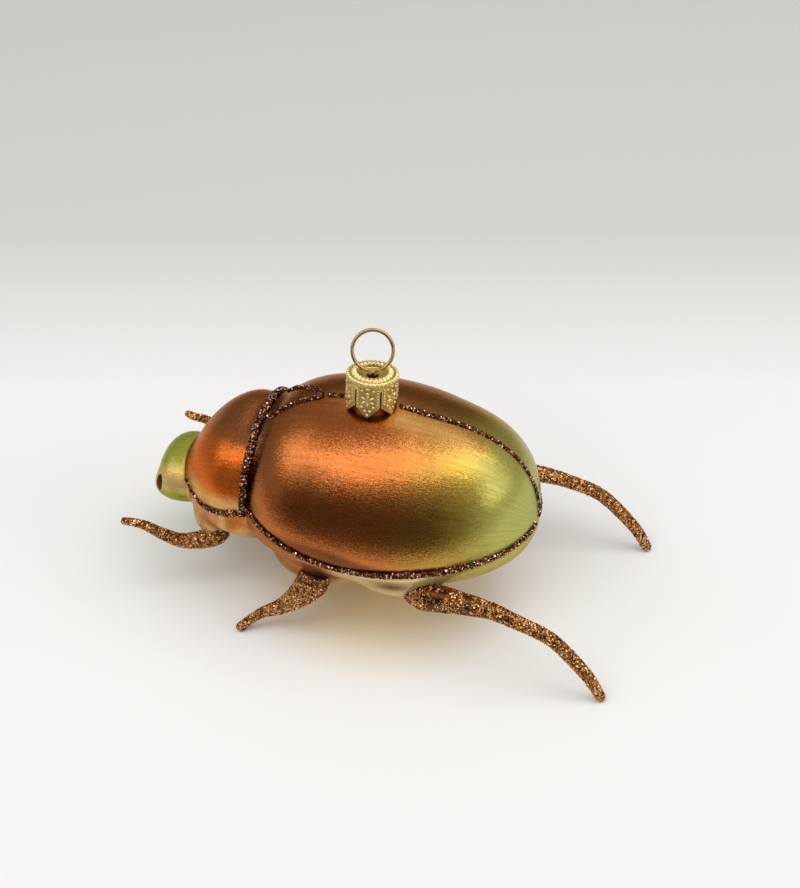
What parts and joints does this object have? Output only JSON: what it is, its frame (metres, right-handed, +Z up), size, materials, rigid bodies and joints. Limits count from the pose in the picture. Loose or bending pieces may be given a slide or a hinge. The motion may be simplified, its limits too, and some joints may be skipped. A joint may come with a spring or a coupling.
{
  "type": "glass beetle hanging ornament",
  "caption": "Mouth-blown glass beetle with curved glitter legs and glitter seams, hung by a petalled metal cap with a wire ring; stands on its middle and hind feet",
  "frame": {"origin": "bottom centre of the bounding box, on the plane the feet stand on", "axes": "+Z up, -Y towards the beetle's head, +X the beetle's left side"},
  "size_m": [0.0662, 0.1324, 0.0757],
  "materials": {
    "glass_body": "satin metallic lacquer on blown glass",
    "leg_glitter": "coarse copper glitter",
    "seam_glitter": "dark plum glitter glue",
    "cap_metal": "bright pressed gold",
    "hanger_wire": "antique gold wire"
  },
  "bodies": {
    "root": {"glass_body": "glass_body", "fore_leg_left": "leg_glitter", "fore_leg_right": "leg_glitter", "mid_leg_left": "leg_glitter", "mid_leg_right": "leg_glitter", "hind_leg_left": "leg_glitter", "hind_leg_right": "leg_glitter", "cap": "cap_metal", "wire_hanger": "hanger_wire", "suture_glitter_front": "seam_glitter", "suture_glitter_rear": "seam_glitter", "scutellum_glitter": "seam_glitter", "pronotum_glitter": "seam_glitter", "pronotum_rim_glitter_left": "seam_glitter", "pronotum_rim_glitter_right": "seam_glitter", "edge_glitter_left": "seam_glitter", "edge_glitter_right": "seam_glitter"}
  },
  "joints": []
}
